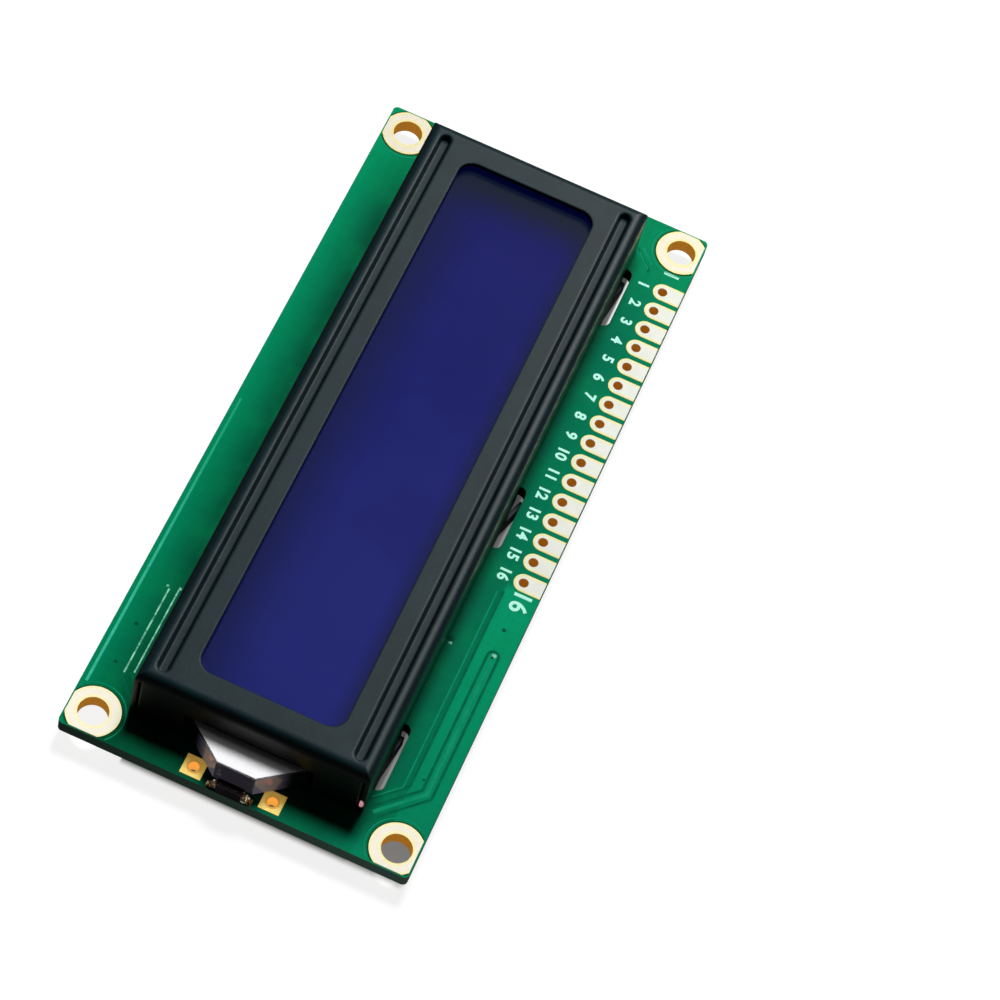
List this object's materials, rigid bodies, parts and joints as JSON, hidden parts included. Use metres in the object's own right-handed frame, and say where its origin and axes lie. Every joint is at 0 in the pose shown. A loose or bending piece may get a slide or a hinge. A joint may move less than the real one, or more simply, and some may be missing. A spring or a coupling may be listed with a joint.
{
  "type": "character lcd module",
  "caption": "Character LCD module: green circuit board, black folded steel bezel with a wide blue screen, edge-lit backlight and a row of header holes.",
  "frame": {"origin": "centre of the mounting-hole pattern, on the board's front face", "axes": "+X along the board towards the backlight LED, +Y towards the header holes, +Z out of the screen"},
  "size_m": [0.08, 0.0357, 0.0103],
  "materials": {
    "solder_mask": "glossy green solder mask over glass-fibre board",
    "gold_plate": "bright gold plate over copper",
    "black_steel": "satin black paint on folded steel sheet",
    "display_film": "smooth deep blue polarising film",
    "cell_glass": "clear, with the blue of the cell",
    "silicone": "matt carbon-striped silicone",
    "white_film": "smooth white film",
    "clear_acrylic": "polished clear acrylic",
    "dark_resin": "glossy dark moulded resin",
    "phosphor": "yellow phosphor in clear resin",
    "tinned_metal": "bright tin and solder",
    "black_epoxy": "cast black epoxy, slightly orange-peeled",
    "resistor_ceramic": "dark ceramic with tinned ends",
    "capacitor_ceramic": "tan ceramic with tinned ends"
  },
  "bodies": {
    "root": {"circuit_board": "solder_mask", "mount_ring_1": "gold_plate", "mount_ring_2": "gold_plate", "mount_ring_3": "gold_plate", "mount_ring_4": "gold_plate", "pin_pad_1": "gold_plate", "pin_pad_2": "gold_plate", "pin_pad_3": "gold_plate", "pin_pad_4": "gold_plate", "pin_pad_5": "gold_plate", "pin_pad_6": "gold_plate", "pin_pad_7": "gold_plate", "pin_pad_8": "gold_plate", "pin_pad_9": "gold_plate", "pin_pad_10": "gold_plate", "pin_pad_11": "gold_plate", "pin_pad_12": "gold_plate", "pin_pad_13": "gold_plate", "pin_pad_14": "gold_plate", "pin_pad_15": "gold_plate", "pin_pad_16": "gold_plate", "wire_pad_1": "gold_plate", "wire_pad_2": "gold_plate", "bezel": "black_steel", "front_polariser": "display_film", "upper_glass": "cell_glass", "lower_glass": "cell_glass", "rear_polariser": "display_film", "contact_strip_1": "silicone", "contact_strip_2": "silicone", "diffuser_sheet": "white_film", "light_guide": "clear_acrylic", "reflector_sheet": "white_film", "guide_film": "white_film", "led_body": "dark_resin", "led_phosphor": "phosphor", "led_terminal_1": "tinned_metal", "led_terminal_2": "tinned_metal", "led_solder_1": "tinned_metal", "led_solder_2": "tinned_metal", "controller_cap": "black_epoxy", "driver_cap": "black_epoxy", "chip_resistor_1": "resistor_ceramic", "chip_resistor_2": "resistor_ceramic", "chip_resistor_3": "resistor_ceramic", "chip_resistor_4": "resistor_ceramic", "chip_resistor_5": "resistor_ceramic", "chip_resistor_6": "resistor_ceramic", "chip_resistor_7": "resistor_ceramic", "chip_resistor_8": "resistor_ceramic", "chip_capacitor": "capacitor_ceramic"}
  },
  "joints": []
}
